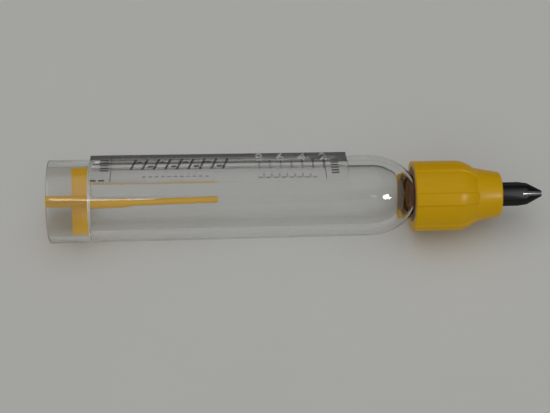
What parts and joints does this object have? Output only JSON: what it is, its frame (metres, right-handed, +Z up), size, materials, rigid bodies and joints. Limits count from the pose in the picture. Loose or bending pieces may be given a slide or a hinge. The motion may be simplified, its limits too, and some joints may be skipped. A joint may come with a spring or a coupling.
{
  "type": "fuel sampler cup",
  "caption": "Clear domed fuel sampling tube with a volume scale on a flat land, a pull-out drain probe in its mouth and a ribbed grip holding a reversible screwdriver bit.",
  "frame": {"origin": "middle of the underside: the point on the resting surface below the middle of the overall box", "axes": "+X along the tube from the mouth to the screwdriver tip, +Z up, the scale faces up and slightly to the back"},
  "size_m": [0.1492, 0.025, 0.0256],
  "materials": {
    "clear_plastic": "water-clear polished moulding",
    "probe_plastic": "satin yellow moulding",
    "grip_plastic": "satin yellow moulding",
    "cured_adhesive": "amber adhesive with small bubbles",
    "black_steel": "black oxide hardened steel"
  },
  "bodies": {
    "cup": {"cup_body": "clear_plastic", "grip": "grip_plastic", "adhesive_plug": "cured_adhesive"},
    "probe": {"probe_insert": "probe_plastic"},
    "bit": {"driver_bit": "black_steel"}
  },
  "joints": [
    {"name": "probe_pull", "type": "slide", "parent": "cup", "child": "probe", "axis": [-1, 0, 0], "range_m": [0, 0.055]},
    {"name": "bit_pull", "type": "slide", "parent": "cup", "child": "bit", "axis": [1, 0, 0], "range_m": [0, 0.03]}
  ]
}
